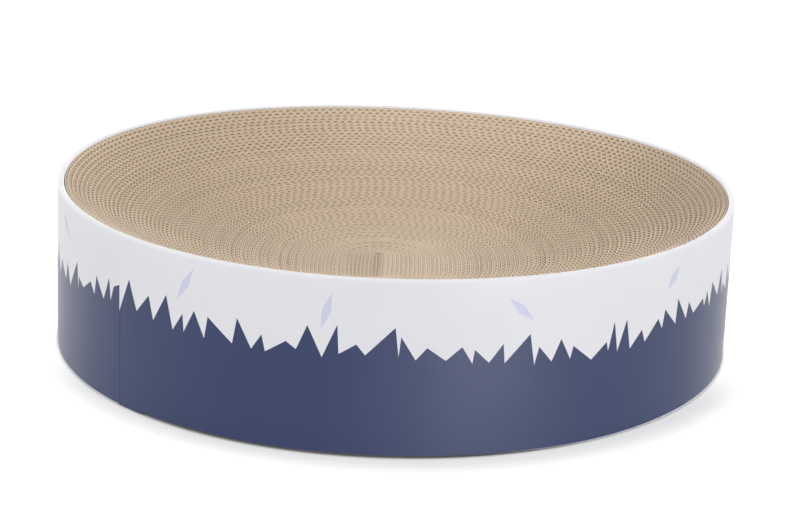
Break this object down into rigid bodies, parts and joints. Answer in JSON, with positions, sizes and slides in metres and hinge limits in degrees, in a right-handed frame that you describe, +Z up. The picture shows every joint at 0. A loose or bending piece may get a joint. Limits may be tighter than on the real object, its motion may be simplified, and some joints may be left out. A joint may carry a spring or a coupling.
{
  "type": "cat scratcher bed",
  "caption": "Round cat scratcher bed: a dished coil of corrugated board, wound in a spiral, inside a straight printed wall ring with a folded rim.",
  "frame": {"origin": "on the floor, under the middle of the bed", "axes": "+Z up out of the dish, -Y towards the front of the picture"},
  "size_m": [0.5, 0.5, 0.12],
  "materials": {
    "printed_paper": "satin printed paper, white above and at the rim, dark blue below",
    "corrugated_board": "raw kraft board, matte"
  },
  "bodies": {
    "root": {"printed_wrap": "printed_paper", "wall_board": "corrugated_board", "base_board": "corrugated_board", "coil_strip_01": "corrugated_board", "coil_strip_02": "corrugated_board", "coil_strip_03": "corrugated_board", "coil_strip_04": "corrugated_board", "coil_strip_05": "corrugated_board", "coil_strip_06": "corrugated_board", "coil_strip_07": "corrugated_board", "coil_strip_08": "corrugated_board", "coil_strip_09": "corrugated_board", "coil_strip_10": "corrugated_board", "coil_strip_11": "corrugated_board", "coil_strip_12": "corrugated_board"}
  },
  "joints": []
}
